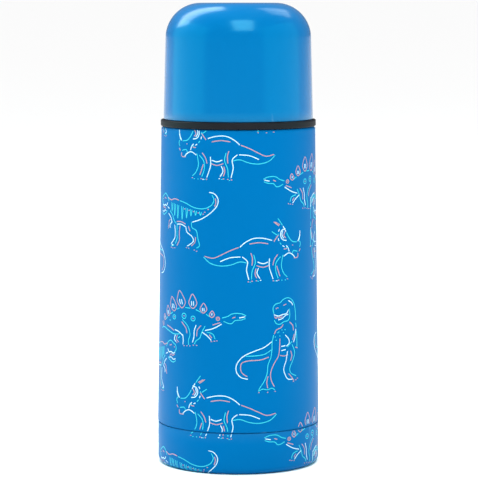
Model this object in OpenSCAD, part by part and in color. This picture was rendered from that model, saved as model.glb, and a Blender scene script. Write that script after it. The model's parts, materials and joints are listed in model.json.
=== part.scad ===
// Insulated drinks flask with a screw-on drinking cup and a push-button pouring stopper.
// The flask stands on Z = 0 with its axis on Z. Sizes are in millimetres.

/* [Steel body] */
// Widest diameter, at the seam above the base cup
body_d = 70; // [69:0.5:90]
// Height of the shoulder that the black collar sits on
shoulder_z = 145.9; // [110:0.1:220]
// Radius lost between the seam and the shoulder
body_taper = 1.9; // [0:0.1:3]
// Rounding of the outer shell's shoulder
shoulder_round = 1.4; // [0.8:0.1:3]
// Sheet thickness of every steel shell
shell_t = 0.6; // [0.4:0.05:0.8]
// Space between the two shells under the shoulder
vacuum_gap = 1.6; // [1:0.1:4]

/* [Base] */
// Height of the seam between the base cup and the outer shell
seam_z = 18; // [14:0.5:30]
// Rounding of the base cup's foot
foot_round = 3; // [2:0.5:6]
// How far the middle of the base is raised off the table
base_dish = 1.4; // [0.8:0.1:3]
// Inner radius of the flat ring that the flask stands on
stand_ring_r = 25; // [18:0.5:27]
// Height of the inner flask's floor
flask_floor_z = 12; // [11.5:0.5:20]

/* [Neck] */
// Bore radius of the threaded steel neck
mouth_r = 22.3; // [21:0.1:22.5]
// Radius of the throat under the stopper's sealing ledge
throat_r = 20; // [19:0.1:20.2]
// Height of the steel lip above the shoulder
neck_h = 13.5; // [13:0.1:18]
// Depth of the sealing ledge below the lip
ledge_depth = 13.4; // [12:0.1:13.5]
// Space between the two shells in the neck
neck_gap = 1.5; // [1:0.1:2.4]

/* [Collar] */
// Height of the black band seen between the cup and the body
band_h = 2.85; // [2:0.05:4]
// How far the band stands out past the outer shell
band_proud = 0.25; // [0:0.05:1]
// Wall of the collar's threaded sleeve
collar_wall = 2.2; // [1.4:0.1:2.6]

/* [Cup] */
// Height of the drinking cup
cup_h = 49.55; // [48.5:0.05:70]
// How far the cup's rim is set in from the outer shell
cup_setback = 1; // [0.5:0.1:2]
// Radius lost between the cup's rim and its shoulder
cup_draft = 0.9; // [0:0.1:2]
// Rounding of the cup's shoulder
cup_round = 15; // [10:0.5:18]
// Thickness of the plastic liner
liner_t = 1.3; // [0.9:0.1:2]
// Air space between the cup's steel and its liner
liner_gap = 0.7; // [0.3:0.1:1]

/* [Threads] */
// Rise of the cup's thread in one turn
cup_lead = 12; // [10.5:0.5:15]
// Rise of the stopper's thread in one turn
stopper_lead = 8; // [7:0.5:10]
// Height of every thread ridge above its wall
thread_depth = 1.2; // [0.9:0.1:1.3]

/* [Stopper] */
// Radius of the knurled grip
grip_r = 25; // [23:0.1:26]
// Height of the knurled grip
grip_h = 8.9; // [8:0.1:10]
// Radius of the push button
button_r = 12; // [10:0.1:13]
// How far the button goes down to open the valve
button_travel = 3.5; // [2:0.1:3.8]
// Radius of the hole that the valve closes
valve_hole_r = 11; // [8:0.1:13]
// Radius of the valve stem
stem_r = 2.4; // [1.8:0.1:3]

/* [Hidden] */
$fn = 96;

// Fits
fixed_gap = 0.05; // between pieces that are glued, welded or snapped together
slip_gap = 0.1;   // between pieces that slide or turn on each other
rim_gap = 0.2;    // under the closed cup and under the stopper's grip
thread_gap = 0.5; // between a thread's crest and the wall that it faces
thread_sink = 0.3; // how deep a thread ridge is rooted in its wall
flank_gap = 0.15; // between the flanks of two threads that are screwed home

// Steel body
seam_r = body_d / 2;
shoulder_r = seam_r - body_taper;
base_r = seam_r - 0.15;
skirt_r = base_r - shell_t - fixed_gap;
skirt_z = 5.4;
edge_break = 0.3;
flask_r = shoulder_r - shell_t - vacuum_gap;
flask_floor_round = 10;
flask_shoulder_round = 8;
throat_round = 6;
shoulder_slope = 70;
lip_z = shoulder_z + neck_h;
ledge_z = lip_z - ledge_depth;
throat_h = 4;
neck_outer_r = mouth_r + shell_t + neck_gap + shell_t;

// Vacuum closure
plate_z = 9;
plate_hole_r = 1;
dimple_r = 6.4;
dimple_depth = 1.2;
dimple_slope = 2;
bead_r = 2.4;
getter_x = 14;
getter_r = 5;
getter_h = 2.2;
getter_t = 0.3;
foil_t = 0.15;
foil_inset = 2;

// Collar and cup
collar_bore_r = neck_outer_r + fixed_gap;
collar_r = collar_bore_r + collar_wall;
collar_top_z = lip_z - 1;
band_z = shoulder_z + band_h;
band_r = shoulder_r + band_proud;
band_round = 0.5;
liner_bore_r = collar_r + thread_depth + thread_gap;
cup_rim_z = band_z + rim_gap;
cup_top_z = cup_rim_z + cup_h;
cup_rim_r = shoulder_r - cup_setback;
cup_corner = [cup_rim_r - cup_draft - cup_round, cup_top_z - cup_round];
cup_slope = atan2(cup_draft, cup_corner.y - cup_rim_z);
liner_rim_h = 1.6;
liner_rim_r = cup_rim_r - shell_t / cos(cup_slope) - fixed_gap;
thread_band_h = 9;
seal_mid_r = (liner_bore_r + liner_rim_r) / 2;
seal_w = min(1.2, liner_rim_r - liner_bore_r - 1.2);
seal_h = 1;

// Threads
ridge_root = 2.2;
ridge_crest = 1.1;
gasket_h = 2;
cup_starts = 3;
cup_span = 105;
stopper_starts = 2;
cup_first = -115;
stopper_span = 120;
stopper_first = 120;
ridge_step = 5;
// Height between the middles of two ridges whose flanks nearly touch
flank = (ridge_root - ridge_crest) / 2 / (thread_depth + thread_sink);
bite = (ridge_root + ridge_crest) / 2 - flank * (thread_sink + thread_gap) + flank_gap;
cup_thread_z = cup_rim_z + 2.85;
stopper_thread_z = ledge_z + gasket_h + 1.6;

// Stopper
barrel_r = mouth_r - thread_depth - thread_gap;
gasket_r = [throat_r - 1, mouth_r - thread_depth - slip_gap * 2];
plug_r = throat_r - 0.6;
barrel_floor_z = ledge_z - 4.6;
barrel_floor_t = 2.2;
chamber_r = throat_r - 3;
deck_t = 2.3;
deck_z = lip_z + rim_gap;
grip_top_z = deck_z + grip_h;
well_r = button_r + slip_gap;
well_wall = 2.2;
well_top_z = deck_z + 5.4;
port_w = 13;
port_h = 6.5;
notch_h = 2.6;
knurl_count = 30;
knurl_r = 1.1;
o_ring_wire_r = 0.9;
seat_t = 0.4;
button_proud = 2.3;
button_top_z = grip_top_z + button_proud;
button_wall = 1.5;
button_round = 1.6;
button_skirt_z = deck_z + button_travel + 1.1;
button_boss_r = 4.2;
spring_r = 6.6;
spring_wire_r = 0.4;
spring_turns = 4.5;
spring_steps = 16;
spring_sides = 8;
stem_hole_r = stem_r + slip_gap;
seal_t = 1.6;
disc_t = 1.6;
rivet_h = 0.6;
disc_z = barrel_floor_z - seal_t - disc_t;

function arc(centre, r, a0, a1, n = 8) =
    [for (i = [0:n]) let (a = a0 + (a1 - a0) * i / n) centre + r * [cos(a), sin(a)]];
function backwards(list) = [for (i = [len(list) - 1:-1:0]) list[i]];

module turned(points) rotate_extrude() polygon(points);

// A sheet between an outline and the same outline set in by the sheet's thickness.
module sheet(outside, inside) turned(concat(outside, backwards(inside)));

// Ridges of a screw thread. depth is positive on a shaft and negative in a bore. The first
// ridge starts at angle first and height z.
module thread(wall_r, depth, lead, starts, span, first, z) {
    steps = ceil(span / ridge_step);
    fade = 3;
    out = sign(depth);
    function reach(i) = max(0.12, min(1, i / fade, (steps - i) / fade));
    function section(i) = let (
        a = first + span * i / steps,
        mid = z + lead * span * i / steps / 360,
        crest = wall_r + depth * reach(i),
        root = wall_r - out * thread_sink
    ) [
        for (p = [[root, -ridge_root], [crest, -ridge_crest], [crest, ridge_crest], [root, ridge_root]])
            [p.x * cos(a), p.x * sin(a), mid + p.y / 2]
    ];
    points = [for (i = [0:steps]) each section(i)];
    sides = [
        for (i = [0:steps - 1], k = [0:3]) let (
            a = 4 * i + k,
            b = 4 * i + (k + 1) % 4
        ) each [[a, b, a + 4], [b, b + 4, a + 4]]
    ];
    last = 4 * steps;
    caps = [[0, 2, 1], [0, 3, 2], [last, last + 1, last + 2], [last, last + 2, last + 3]];
    faces = concat(sides, caps);
    for (n = [0:starts - 1])
        rotate(360 * n / starts)
            polyhedron(points, out < 0 ? [for (f = faces) backwards(f)] : faces, convexity = 4);
}

// Outline of the outer shell from its skirt to its lip, set in by some distance.
function shell_outline(inset) = concat(
    [
        [skirt_r - inset, skirt_z],
        [skirt_r - inset, seam_z + inset],
        [seam_r - inset - (inset > 0 ? 0 : edge_break), seam_z + inset],
        [seam_r - inset, seam_z + edge_break + inset]
    ],
    arc([shoulder_r - shoulder_round, shoulder_z - shoulder_round], shoulder_round - inset, 0, 90),
    [
        [neck_outer_r - inset, shoulder_z - inset],
        [neck_outer_r - inset, lip_z - shell_t]
    ]
);

module outer_shell() color([0.0, 0.47, 0.8]) sheet(shell_outline(0), shell_outline(shell_t));

function base_outline(inset) = concat(
    [
        [0, base_dish + inset],
        [stand_ring_r - 2, base_dish + inset],
        [stand_ring_r, inset]
    ],
    arc([base_r - foot_round, foot_round], foot_round - inset, -90, 0),
    [[base_r - inset, seam_z - edge_break]]
);

module base_cup() color([0.0, 0.47, 0.8]) sheet(base_outline(0), base_outline(shell_t));

module vacuum_base() color([0.72, 0.73, 0.74]) turned([
    [plate_hole_r, plate_z - dimple_depth - shell_t],
    [dimple_r, plate_z - dimple_depth - shell_t],
    [dimple_r + dimple_slope, plate_z - shell_t],
    [skirt_r - 2 * shell_t - fixed_gap, plate_z - shell_t],
    [skirt_r - 2 * shell_t - fixed_gap, skirt_z],
    [skirt_r - shell_t - fixed_gap, skirt_z],
    [skirt_r - shell_t - fixed_gap, plate_z],
    [dimple_r + dimple_slope, plate_z],
    [dimple_r, plate_z - dimple_depth],
    [plate_hole_r, plate_z - dimple_depth]
]);

// Bead of solder glass that closes the evacuation hole.
module evacuation_seal() color([0.35, 0.42, 0.38]) {
    under = plate_z - dimple_depth - shell_t - fixed_gap;
    turned([
        [0, under - 0.9],
        [bead_r * 0.6, under - 0.7],
        [bead_r, under],
        [plate_hole_r - fixed_gap, under],
        [plate_hole_r - fixed_gap, plate_z - dimple_depth],
        [0, plate_z - dimple_depth]
    ]);
}

module getter_holder() color([0.72, 0.73, 0.74]) translate([getter_x, 0, plate_z]) turned([
    [0, 0],
    [getter_r, 0],
    [getter_r, getter_h],
    [getter_r - getter_t, getter_h],
    [getter_r - getter_t, getter_t],
    [0, getter_t]
]);

module getter_pellet() color([0.3, 0.3, 0.32])
    translate([getter_x, 0, plate_z + getter_t])
        cylinder(r = getter_r - getter_t - fixed_gap, h = getter_h - getter_t - 0.5);

// Outline of the inner flask from its floor to the outside of its lip.
function flask_outline(inset) =
    let (
        neck_r = mouth_r + shell_t - inset,
        ledge_r = throat_r + shell_t - inset,
        high = [flask_r - flask_shoulder_round, ledge_z - throat_h - throat_round - 7.6],
        start = high + (flask_shoulder_round - inset) * [cos(shoulder_slope), sin(shoulder_slope)],
        bend = throat_round + inset,
        throat_x = ledge_r + bend,
        run = (start.x - throat_x - bend * cos(180 + shoulder_slope)) / sin(shoulder_slope),
        throat_z = start.y + run * cos(shoulder_slope) - bend * sin(180 + shoulder_slope)
    ) concat(
        [[0, flask_floor_z + inset]],
        arc(
            [flask_r - flask_floor_round, flask_floor_z + flask_floor_round],
            flask_floor_round - inset, -90, 0
        ),
        arc(high, flask_shoulder_round - inset, 0, shoulder_slope, 6),
        arc([throat_x, throat_z], bend, 180 + shoulder_slope, 180, 6),
        [
            [ledge_r, ledge_z - shell_t + inset],
            [neck_r, ledge_z - shell_t + inset]
        ]
    );

module inner_flask() color([0.76, 0.77, 0.78]) {
    lip = [
        [mouth_r + shell_t, lip_z - shell_t],
        [neck_outer_r, lip_z - shell_t],
        [neck_outer_r, lip_z],
        [mouth_r, lip_z]
    ];
    turned(concat(flask_outline(0), lip, backwards(flask_outline(shell_t))));
    thread(
        mouth_r, -thread_depth, stopper_lead, stopper_starts, stopper_span + 2 * ridge_step,
        stopper_first - ridge_step, stopper_thread_z - stopper_lead * ridge_step / 360 + bite
    );
}

module foil_wrap() color([0.85, 0.5, 0.3]) {
    low = flask_floor_z + flask_floor_round + foil_inset;
    high = ledge_z - throat_h - throat_round - 7.6 - foil_inset;
    difference() {
        translate([0, 0, low]) cylinder(r = flask_r + fixed_gap + foil_t, h = high - low);
        translate([0, 0, low - 1]) cylinder(r = flask_r + fixed_gap, h = high - low + 2);
    }
}

module neck_collar() color([0.08, 0.08, 0.09]) {
    turned(concat(
        [[collar_bore_r, shoulder_z + fixed_gap]],
        arc([band_r - band_round, shoulder_z + fixed_gap + band_round], band_round, -90, 0, 4),
        arc([band_r - band_round, band_z - band_round], band_round, 0, 90, 4),
        [
            [collar_r, band_z],
            [collar_r, collar_top_z - edge_break],
            [collar_r - edge_break, collar_top_z],
            [collar_bore_r, collar_top_z]
        ]
    ));
    thread(collar_r, thread_depth, cup_lead, cup_starts, cup_span, 0, cup_thread_z);
}

// Outline of the cup from its rim to the middle of its top, set in by some distance.
function cup_outline(inset, z = cup_rim_z) = concat(
    [[cup_rim_r - inset / cos(cup_slope) - (z - cup_rim_z) * tan(cup_slope), z]],
    arc(cup_corner, cup_round - inset, cup_slope, 90, 16),
    [[0, cup_top_z - inset]]
);

module cup_shell() color([0.0, 0.52, 0.85]) sheet(cup_outline(0), cup_outline(shell_t));

module cup_liner() color([0.93, 0.94, 0.94]) {
    outer = shell_t + liner_gap;
    inner = outer + liner_t;
    band_top = cup_rim_z + thread_band_h;
    rim_top = cup_rim_z + liner_rim_h;
    difference() {
        turned(concat(
            [
                [liner_bore_r, cup_rim_z],
                [liner_rim_r, cup_rim_z],
                [liner_rim_r - liner_rim_h * tan(cup_slope), rim_top]
            ],
            cup_outline(outer, rim_top),
            backwards(cup_outline(inner, band_top + liner_t)),
            [[liner_bore_r, band_top]]
        ));
        translate([0, 0, cup_rim_z - 1]) difference() {
            cylinder(r = seal_mid_r + seal_w / 2 + slip_gap, h = seal_h + 1 + slip_gap);
            translate([0, 0, -1]) cylinder(r = seal_mid_r - seal_w / 2 - slip_gap, h = seal_h + 4);
        }
    }
    thread(
        liner_bore_r, -thread_depth, cup_lead, cup_starts, cup_span, cup_first,
        cup_thread_z + cup_lead * (cup_first / 360 + 1 / cup_starts) - bite
    );
}

module cup_rim_seal() color([0.1, 0.1, 0.11]) difference() {
    translate([0, 0, band_z]) cylinder(r = seal_mid_r + seal_w / 2, h = seal_h + rim_gap);
    translate([0, 0, band_z - 1]) cylinder(r = seal_mid_r - seal_w / 2, h = seal_h + 3);
}

module stopper_gasket() color([0.85, 0.86, 0.86]) turned(concat(
    [[gasket_r[0], ledge_z]],
    arc([gasket_r[1] - gasket_h / 2, ledge_z + gasket_h / 2], gasket_h / 2, -90, 90, 8),
    [[gasket_r[0], ledge_z + gasket_h]]
));

// Radial ways out of the barrel, between the ends of the thread ridges.
module ports(z, h, from, to) {
    for (side = [0, 180])
        rotate(side + stopper_first + (stopper_span + 180) / 2)
            translate([from, -port_w / 2, z]) cube([to - from, port_w, h]);
}

module stopper_barrel() color([0.09, 0.09, 0.1]) {
    groove_r = gasket_r[0] - slip_gap;
    difference() {
        turned([
            [valve_hole_r, barrel_floor_z],
            [plug_r - 1, barrel_floor_z],
            [plug_r, barrel_floor_z + 1],
            [plug_r, ledge_z - slip_gap],
            [groove_r, ledge_z - slip_gap],
            [groove_r, ledge_z + gasket_h + slip_gap],
            [barrel_r, ledge_z + gasket_h + slip_gap],
            [barrel_r, deck_z],
            [well_r + well_wall, deck_z],
            [well_r + well_wall, well_top_z],
            [well_r, well_top_z],
            [well_r, deck_z],
            [2 * o_ring_wire_r + stem_hole_r, deck_z],
            [2 * o_ring_wire_r + stem_hole_r, deck_z - 2 * o_ring_wire_r],
            [stem_hole_r, deck_z - 2 * o_ring_wire_r],
            [stem_hole_r, deck_z - deck_t],
            [chamber_r, deck_z - deck_t],
            [chamber_r, barrel_floor_z + barrel_floor_t],
            [valve_hole_r, barrel_floor_z + barrel_floor_t]
        ]);
        ports(lip_z - port_h - 3, port_h, chamber_r - 2, mouth_r);
    }
    thread(
        barrel_r, thread_depth, stopper_lead, stopper_starts, stopper_span,
        stopper_first, stopper_thread_z
    );
}

module stopper_grip() color([0.09, 0.09, 0.1]) {
    bore_r = well_r + well_wall + fixed_gap;
    difference() {
        turned(concat(
            [[bore_r, deck_z], [grip_r - 0.5, deck_z], [grip_r, deck_z + 0.5]],
            arc([grip_r - 1.2, grip_top_z - 1.2], 1.2, 0, 90, 4),
            [
                [well_r + 1, grip_top_z],
                [well_r, grip_top_z - 1],
                [well_r, well_top_z + fixed_gap],
                [bore_r, well_top_z + fixed_gap]
            ]
        ));
        for (i = [0:knurl_count - 1])
            rotate(360 * (i + 0.5) / knurl_count)
                translate([grip_r + 0.35, 0, deck_z - 1]) cylinder(r = knurl_r, h = grip_h - 0.8, $fn = 24);
        ports(deck_z - 1, notch_h + 1, barrel_r, grip_r + 1);
    }
}

module spring_seat() color([0.72, 0.73, 0.74]) translate([0, 0, deck_z]) difference() {
    cylinder(r = spring_r + 1.4, h = seat_t);
    translate([0, 0, -1]) cylinder(r = stem_hole_r, h = seat_t + 2);
}

module stem_o_ring() color([0.15, 0.15, 0.16])
    translate([0, 0, deck_z - o_ring_wire_r])
        rotate_extrude() translate([stem_hole_r + o_ring_wire_r, 0]) circle(r = o_ring_wire_r);

// Compression spring: one tube swept along a helix with its ends closed flat.
module button_spring() color([0.78, 0.79, 0.8]) {
    low = deck_z + seat_t + spring_wire_r;
    high = button_top_z - button_wall - spring_wire_r;
    steps = round(spring_turns * spring_steps);
    points = [
        for (i = [0:steps], k = [0:spring_sides - 1]) let (
            a = 360 * i / spring_steps,
            b = 360 * k / spring_sides,
            r = spring_r + spring_wire_r * cos(b),
            rise = max(0, min(1, (i / steps - 0.12) / 0.76))
        ) [r * cos(a), r * sin(a), low + (high - low) * rise + spring_wire_r * sin(b)]
    ];
    sides = [
        for (i = [0:steps - 1], k = [0:spring_sides - 1]) let (
            a = spring_sides * i + k,
            b = spring_sides * i + (k + 1) % spring_sides
        ) each [[a, b, a + spring_sides], [b, b + spring_sides, a + spring_sides]]
    ];
    first = [for (k = [spring_sides - 1:-1:0]) k];
    last = [for (k = [0:spring_sides - 1]) spring_sides * steps + k];
    polyhedron(points, concat(sides, [first, last]), convexity = 10);
}

module push_button() color([0.0, 0.52, 0.85]) {
    under = button_top_z - button_wall;
    turned(concat(
        [[0, under], [stem_r + fixed_gap, under], [stem_r + fixed_gap, button_skirt_z + 2]],
        [[button_boss_r, button_skirt_z + 2], [button_boss_r, under]],
        [[button_r - button_wall, under], [button_r - button_wall, button_skirt_z], [button_r, button_skirt_z]],
        arc([button_r - button_round, button_top_z - button_round], button_round, 0, 90, 6),
        [[0, button_top_z]]
    ));
}

module valve_stem() color([0.9, 0.91, 0.91]) turned([
    [0, disc_z - rivet_h],
    [stem_r + 1, disc_z - rivet_h],
    [stem_r + 1, disc_z - fixed_gap],
    [stem_r, disc_z - fixed_gap],
    [stem_r, button_top_z - button_wall - fixed_gap],
    [0, button_top_z - button_wall - fixed_gap]
]);

module valve_disc() color([0.9, 0.91, 0.91]) turned([
    [stem_r + fixed_gap, disc_z],
    [valve_hole_r - 0.5, disc_z],
    [valve_hole_r + 0.5, disc_z + disc_t],
    [stem_r + fixed_gap, disc_z + disc_t]
]);

module valve_seal() color([0.85, 0.86, 0.86]) turned([
    [stem_r + fixed_gap, disc_z + disc_t],
    [valve_hole_r + 1, disc_z + disc_t],
    [valve_hole_r + 1.5, barrel_floor_z - 0.5],
    [valve_hole_r + 1.5, barrel_floor_z],
    [stem_r + fixed_gap, barrel_floor_z]
]);

outer_shell();
base_cup();
vacuum_base();
evacuation_seal();
getter_holder();
getter_pellet();
inner_flask();
foil_wrap();
neck_collar();
cup_shell();
cup_liner();
cup_rim_seal();
stopper_gasket();
stopper_barrel();
stopper_grip();
spring_seat();
stem_o_ring();
button_spring();
push_button();
valve_stem();
valve_disc();
valve_seal();
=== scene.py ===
"""Looks for an insulated drinks flask with a screw-on cup and a push-button stopper.

The painted shells, the cup's dome, the button's spring and the printed dinosaurs are made here.
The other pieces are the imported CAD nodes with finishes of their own.
"""

from __future__ import annotations

import json
import logging
import math
from dataclasses import dataclass
from enum import Enum
from itertools import groupby
from typing import Sequence

import bpy
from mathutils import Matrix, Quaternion, Vector

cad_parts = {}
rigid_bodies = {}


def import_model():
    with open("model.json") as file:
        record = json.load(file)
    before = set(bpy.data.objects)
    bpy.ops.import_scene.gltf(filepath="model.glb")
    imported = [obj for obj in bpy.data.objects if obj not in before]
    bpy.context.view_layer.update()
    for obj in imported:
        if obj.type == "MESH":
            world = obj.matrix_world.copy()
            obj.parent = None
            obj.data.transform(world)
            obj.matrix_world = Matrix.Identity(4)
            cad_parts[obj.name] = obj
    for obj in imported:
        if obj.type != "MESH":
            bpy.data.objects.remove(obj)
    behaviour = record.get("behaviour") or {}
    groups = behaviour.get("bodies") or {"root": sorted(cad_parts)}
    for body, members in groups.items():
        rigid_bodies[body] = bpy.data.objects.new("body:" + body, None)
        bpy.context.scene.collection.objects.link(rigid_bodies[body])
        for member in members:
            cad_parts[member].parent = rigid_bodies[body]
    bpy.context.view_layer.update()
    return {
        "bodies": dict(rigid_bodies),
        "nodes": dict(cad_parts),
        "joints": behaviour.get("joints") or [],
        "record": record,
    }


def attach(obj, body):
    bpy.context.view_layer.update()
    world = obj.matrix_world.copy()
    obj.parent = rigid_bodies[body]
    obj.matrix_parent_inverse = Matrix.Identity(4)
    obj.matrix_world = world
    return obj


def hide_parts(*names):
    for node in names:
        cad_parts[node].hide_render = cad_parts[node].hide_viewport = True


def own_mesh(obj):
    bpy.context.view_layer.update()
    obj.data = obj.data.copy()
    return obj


LOG = logging.getLogger("flask")
MM = 0.001
# Points round a turned piece.
AROUND = 256
# The smallest ring of a turned piece, and how near the axis a pole's points are looked for.
POLE_RADIUS = 0.05 * MM
POLE_REACH = 0.1 * MM
Colour = tuple[float, float, float]
Point = tuple[float, float]
Outputs = bpy.types.bpy_prop_collection
# The tint of the light from both sides.
COOL: Colour = (0.1, 0.95, 1.0)


# ---- workshop


class Workshop:
    """The bench tools that every sub-assembly uses to shape its meshes."""

    @staticmethod
    def clear_selection() -> None:
        """Deselects every object and makes none of them active."""
        if bpy.context.mode != "OBJECT":
            bpy.ops.object.mode_set(mode="OBJECT")
        bpy.ops.object.select_all(action="DESELECT")
        bpy.context.view_layer.objects.active = None

    @staticmethod
    def pick(piece: bpy.types.Object) -> None:
        """Selects one object alone and makes it active.

        Args:
            piece: The object to work on.
        """
        Workshop.clear_selection()
        piece.select_set(True)
        bpy.context.view_layer.objects.active = piece

    @staticmethod
    def turn(
        name: str, profile: Sequence[Point], poles: tuple[bool, bool] = (False, False)
    ) -> bpy.types.Object:
        """Turns an open profile round Z, ring by ring.

        Args:
            name: The new piece's name.
            profile: Radius and height of each ring, in metres.
            poles: Whether the first and the last ring close to a point.

        Returns:
            The new piece, an open skin of quads.
        """
        Workshop.clear_selection()
        rings = [(max(radius, POLE_RADIUS), height) for radius, height in profile]
        bpy.ops.mesh.primitive_circle_add(
            vertices=AROUND, radius=rings[0][0], location=(0, 0, rings[0][1]), fill_type="NOTHING"
        )
        piece = bpy.context.active_object
        piece.name = piece.data.name = name
        bpy.ops.object.transform_apply(location=True, rotation=True, scale=True)
        bpy.ops.object.mode_set(mode="EDIT")
        bpy.ops.mesh.select_all(action="SELECT")
        for (last_radius, last_height), (radius, height) in zip(rings, rings[1:]):
            bpy.ops.mesh.extrude_region_move(
                TRANSFORM_OT_translate={"value": (0, 0, height - last_height)}
            )
            share = radius / last_radius
            bpy.ops.transform.resize(value=(share, share, 1), center_override=(0, 0, height))
        if poles[1]:
            bpy.ops.mesh.merge(type="CENTER")
        bpy.ops.object.mode_set(mode="OBJECT")
        if poles[0]:
            Workshop.pick(piece)
            bpy.ops.object.mode_set(mode="EDIT")
            bpy.ops.mesh.select_all(action="DESELECT")
            bpy.ops.object.mode_set(mode="OBJECT")
            for vertex in piece.data.vertices:
                vertex.select = vertex.co.xy.length < POLE_REACH
            bpy.ops.object.mode_set(mode="EDIT")
            bpy.ops.mesh.merge(type="CENTER")
            bpy.ops.object.mode_set(mode="OBJECT")
        Workshop.face_out(piece)
        return piece

    @staticmethod
    def wire(name: str, radius: float, resolution: int) -> bpy.types.Curve:
        """Starts a curve that carries a round wire.

        Args:
            name: The curve's name.
            radius: The wire's radius in metres.
            resolution: Blender's bevel resolution, which sets the faces round the wire.

        Returns:
            The curve, with no lines yet.
        """
        curve = bpy.data.curves.new(name, "CURVE")
        curve.dimensions = "3D"
        curve.bevel_depth = radius
        curve.bevel_resolution = resolution
        curve.use_fill_caps = True
        return curve

    @staticmethod
    def from_curve(curve: bpy.types.Curve) -> bpy.types.Object:
        """Makes a curve into a mesh piece of the same name.

        Args:
            curve: The finished curve.

        Returns:
            The piece.
        """
        name = curve.name
        drawn = bpy.data.objects.new(name, curve)
        bpy.context.scene.collection.objects.link(drawn)
        Workshop.pick(drawn)
        bpy.ops.object.convert(target="MESH")
        piece = bpy.context.active_object
        piece.name = piece.data.name = name
        return piece

    @staticmethod
    def face_out(piece: bpy.types.Object) -> None:
        """Makes a piece's faces point outwards.

        Args:
            piece: The piece to mend.
        """
        Workshop.pick(piece)
        bpy.ops.object.mode_set(mode="EDIT")
        bpy.ops.mesh.select_all(action="SELECT")
        bpy.ops.mesh.normals_make_consistent(inside=False)
        bpy.ops.object.mode_set(mode="OBJECT")

    @staticmethod
    def thicken(piece: bpy.types.Object, wall: float) -> None:
        """Gives a skin its wall, inwards from the outside.

        Args:
            piece: The skin.
            wall: The wall's thickness in metres.
        """
        Workshop.pick(piece)
        solid = piece.modifiers.new("wall", "SOLIDIFY")
        solid.thickness = wall
        solid.offset = -1
        solid.use_even_offset = True
        bpy.ops.object.modifier_apply(modifier=solid.name)

    @staticmethod
    def soften(piece: bpy.types.Object, width: float, sharp: float = 40) -> None:
        """Rounds a piece's sharp edges and smooths the rest.

        Args:
            piece: The piece.
            width: Width of the rounding in metres.
            sharp: Edges over this angle in degrees are rounded.
        """
        Workshop.pick(piece)
        bevel = piece.modifiers.new("edges", "BEVEL")
        bevel.width = width
        bevel.segments = 2
        bevel.limit_method = "ANGLE"
        bevel.angle_limit = math.radians(sharp)
        bpy.ops.object.modifier_apply(modifier=bevel.name)
        bpy.ops.object.shade_smooth_by_angle(angle=math.radians(sharp))

    @staticmethod
    def arc(centre: Point, radius: float, start: float, end: float, steps: int) -> list[Point]:
        """Gives the points of an arc in the plane of radius and height.

        Args:
            centre: The arc's centre.
            radius: The arc's radius.
            start: First angle in degrees, 0 outwards and 90 up.
            end: Last angle in degrees.
            steps: Number of chords.

        Returns:
            The arc's points in order.
        """
        points = []
        for i in range(steps + 1):
            a = math.radians(start + (end - start) * i / steps)
            points.append((centre[0] + radius * math.cos(a), centre[1] + radius * math.sin(a)))
        return points


# ---- finishes


class Patch:
    """A node tree in the making."""

    def __init__(self, tree: bpy.types.NodeTree) -> None:
        """Takes the tree to add nodes to."""
        self.tree = tree

    def feed(self, node: bpy.types.Node, inputs: dict) -> None:
        """Joins or sets a node's inputs.

        Args:
            node: The node.
            inputs: By name or number, the socket that feeds each input, or its value.
        """
        for name, value in inputs.items():
            if isinstance(value, bpy.types.NodeSocket):
                self.tree.links.new(value, node.inputs[name])
            else:
                node.inputs[name].default_value = value

    def node(self, kind: str, inputs: dict | None = None, **settings: object) -> Outputs:
        """Adds a node.

        Args:
            kind: The node's type, without the word ShaderNode.
            inputs: The sockets that feed its inputs, or their values.
            **settings: The node's own settings, made first.

        Returns:
            The node's outputs.
        """
        node = self.tree.nodes.new("ShaderNode" + kind)
        for name, setting in settings.items():
            setattr(node, name, setting)
        self.feed(node, inputs or {})
        return node.outputs


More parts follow.
